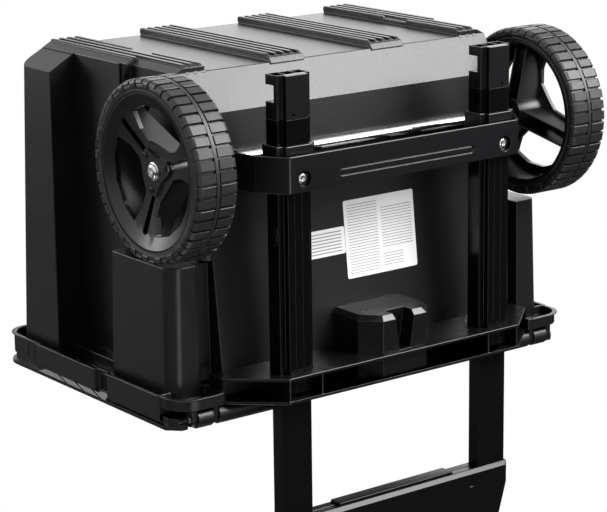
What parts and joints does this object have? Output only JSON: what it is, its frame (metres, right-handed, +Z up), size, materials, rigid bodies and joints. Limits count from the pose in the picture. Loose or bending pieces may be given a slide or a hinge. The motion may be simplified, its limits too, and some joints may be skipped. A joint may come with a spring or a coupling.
{
  "type": "wheeled storage box",
  "caption": "Deep moulded storage box on two spoked wheels, with a hinged latching lid and a telescopic pull handle in rear guide rails.",
  "frame": {"origin": "on the ground below the middle of the box's overall length and width", "axes": "+Z up, +Y to the rear where the handle and wheels are, +X across along the axle"},
  "size_m": [0.52, 0.4, 0.522],
  "materials": {
    "black_plastic": "satin",
    "wheel_plastic": "satin",
    "grip_plastic": "satin",
    "tyre": "matte",
    "steel": "satin",
    "dark_steel": "satin",
    "rail": "satin",
    "handle_metal": "matte"
  },
  "bodies": {
    "box": {"body_tub": "black_plastic", "rear_guide_beam": "black_plastic", "rear_catch_block": "black_plastic", "lower_guide_bracket": "black_plastic", "bracket_screws": "steel", "guide_rail_left": "rail", "guide_rail_right": "rail", "rail_foot_left": "black_plastic", "rail_foot_right": "black_plastic", "axle_rod": "steel", "axle_bush_left": "black_plastic", "axle_bush_right": "black_plastic", "axle_bolts": "steel", "lid_hinge_pins": "steel", "latch_pins": "steel"},
    "wheel_left": {"wheel_rim_left": "wheel_plastic", "tyre_left": "tyre", "hub_plate_left": "wheel_plastic", "hub_screws_left": "dark_steel"},
    "wheel_right": {"wheel_rim_right": "wheel_plastic", "tyre_right": "tyre", "hub_plate_right": "wheel_plastic", "hub_screws_right": "dark_steel"},
    "handle": {"handle_tube_left": "handle_metal", "handle_tube_right": "handle_metal", "tube_slider_left": "black_plastic", "tube_slider_right": "black_plastic", "grip_front_half": "grip_plastic", "grip_rear_half": "grip_plastic", "grip_screws": "dark_steel"},
    "release": {"release_bar": "grip_plastic", "release_rod_left": "steel", "release_rod_right": "steel"},
    "pin_left": {"lock_pin_left": "steel"},
    "pin_right": {"lock_pin_right": "steel"},
    "lid": {"lid": "black_plastic"},
    "latch_left": {"front_latch_left": "black_plastic"},
    "latch_right": {"front_latch_right": "black_plastic"}
  },
  "joints": [
    {"name": "wheel_spin_left", "type": "hinge", "parent": "box", "child": "wheel_left", "pos_m": [-0.237, 0.11, 0.09], "axis": [1, 0, 0], "continuous": true},
    {"name": "wheel_spin_right", "type": "hinge", "parent": "box", "child": "wheel_right", "pos_m": [0.237, 0.11, 0.09], "axis": [1, 0, 0], "continuous": true},
    {"name": "handle_slide", "type": "slide", "parent": "box", "child": "handle", "axis": [0, 0, 1], "range_m": [-0.102, 0.125]},
    {"name": "release_slide", "type": "slide", "parent": "handle", "child": "release", "axis": [0, 0, 1], "range_m": [0, 0.003], "stiffness_N_per_m": 600, "springref_m": -0.003},
    {"name": "lock_pin_slide_left", "type": "slide", "parent": "handle", "child": "pin_left", "axis": [0, -1, 0], "range_m": [0, 0.003]},
    {"name": "lock_pin_slide_right", "type": "slide", "parent": "handle", "child": "pin_right", "axis": [0, -1, 0], "range_m": [0, 0.003]},
    {"name": "lid_hinge", "type": "hinge", "parent": "box", "child": "lid", "pos_m": [0, 0.138, 0.3336], "axis": [-1, 0, 0], "range_deg": [0, 85]},
    {"name": "latch_hinge_left", "type": "hinge", "parent": "box", "child": "latch_left", "pos_m": [-0.135, -0.188, 0.318], "axis": [1, 0, 0], "range_deg": [-12, 64]},
    {"name": "latch_hinge_right", "type": "hinge", "parent": "box", "child": "latch_right", "pos_m": [0.135, -0.188, 0.318], "axis": [1, 0, 0], "range_deg": [-12, 64]}
  ],
  "couplings": [
    {"joint": "lock_pin_slide_left", "follows": "release_slide", "ratio": 1},
    {"joint": "lock_pin_slide_right", "follows": "release_slide", "ratio": 1}
  ]
}
